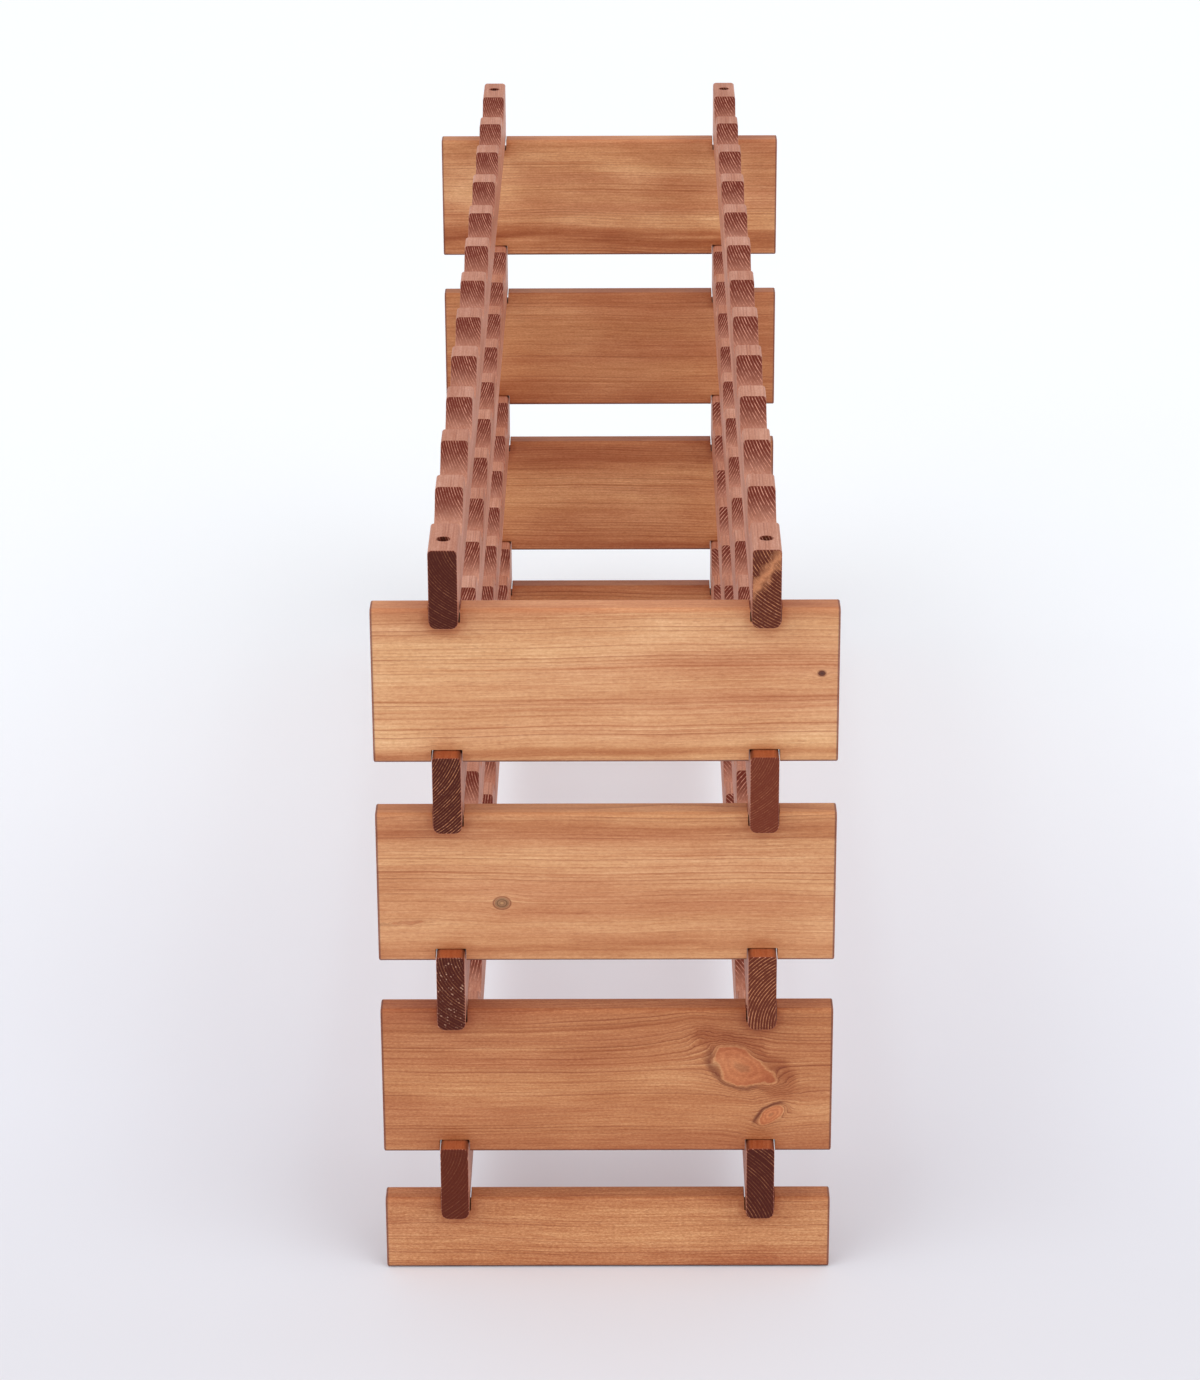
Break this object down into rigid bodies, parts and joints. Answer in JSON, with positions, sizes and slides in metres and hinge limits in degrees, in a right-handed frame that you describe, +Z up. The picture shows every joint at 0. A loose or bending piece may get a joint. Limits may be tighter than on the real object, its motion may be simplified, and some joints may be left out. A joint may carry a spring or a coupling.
{
  "type": "wine rack",
  "caption": "Free-standing knock-down pine wine rack: notched end boards hold pairs of scalloped rails, layer on layer, pinned with dowels; bottles lie across the rails.",
  "frame": {"origin": "on the floor under the middle of the rack", "axes": "+X along the rails to the right end as seen from the front, +Y from the front to the back, +Z up"},
  "size_m": [1.16, 0.29, 0.507],
  "materials": {
    "board_pine": "honey stain under satin lacquer",
    "rail_pine": "reddish brown stain under satin lacquer",
    "dowel_beech": "bare beech, fluted and glued"
  },
  "bodies": {
    "root": {"base_board_left": "board_pine", "end_board_left_1": "board_pine", "end_board_left_2": "board_pine", "end_board_left_3": "board_pine", "base_board_right": "board_pine", "end_board_right_1": "board_pine", "end_board_right_2": "board_pine", "end_board_right_3": "board_pine", "bottle_rail_front_1": "rail_pine", "bottle_rail_front_2": "rail_pine", "bottle_rail_front_3": "rail_pine", "bottle_rail_front_4": "rail_pine", "bottle_rail_back_1": "rail_pine", "bottle_rail_back_2": "rail_pine", "bottle_rail_back_3": "rail_pine", "bottle_rail_back_4": "rail_pine", "dowel_left_front_1_lower": "dowel_beech", "dowel_left_front_1_upper": "dowel_beech", "dowel_left_front_2_lower": "dowel_beech", "dowel_left_front_2_upper": "dowel_beech", "dowel_left_front_3_lower": "dowel_beech", "dowel_left_front_3_upper": "dowel_beech", "dowel_left_front_4_lower": "dowel_beech", "dowel_left_back_1_lower": "dowel_beech", "dowel_left_back_1_upper": "dowel_beech", "dowel_left_back_2_lower": "dowel_beech", "dowel_left_back_2_upper": "dowel_beech", "dowel_left_back_3_lower": "dowel_beech", "dowel_left_back_3_upper": "dowel_beech", "dowel_left_back_4_lower": "dowel_beech", "dowel_right_front_1_lower": "dowel_beech", "dowel_right_front_1_upper": "dowel_beech", "dowel_right_front_2_lower": "dowel_beech", "dowel_right_front_2_upper": "dowel_beech", "dowel_right_front_3_lower": "dowel_beech", "dowel_right_front_3_upper": "dowel_beech", "dowel_right_front_4_lower": "dowel_beech", "dowel_right_back_1_lower": "dowel_beech", "dowel_right_back_1_upper": "dowel_beech", "dowel_right_back_2_lower": "dowel_beech", "dowel_right_back_2_upper": "dowel_beech", "dowel_right_back_3_lower": "dowel_beech", "dowel_right_back_3_upper": "dowel_beech", "dowel_right_back_4_lower": "dowel_beech"}
  },
  "joints": []
}
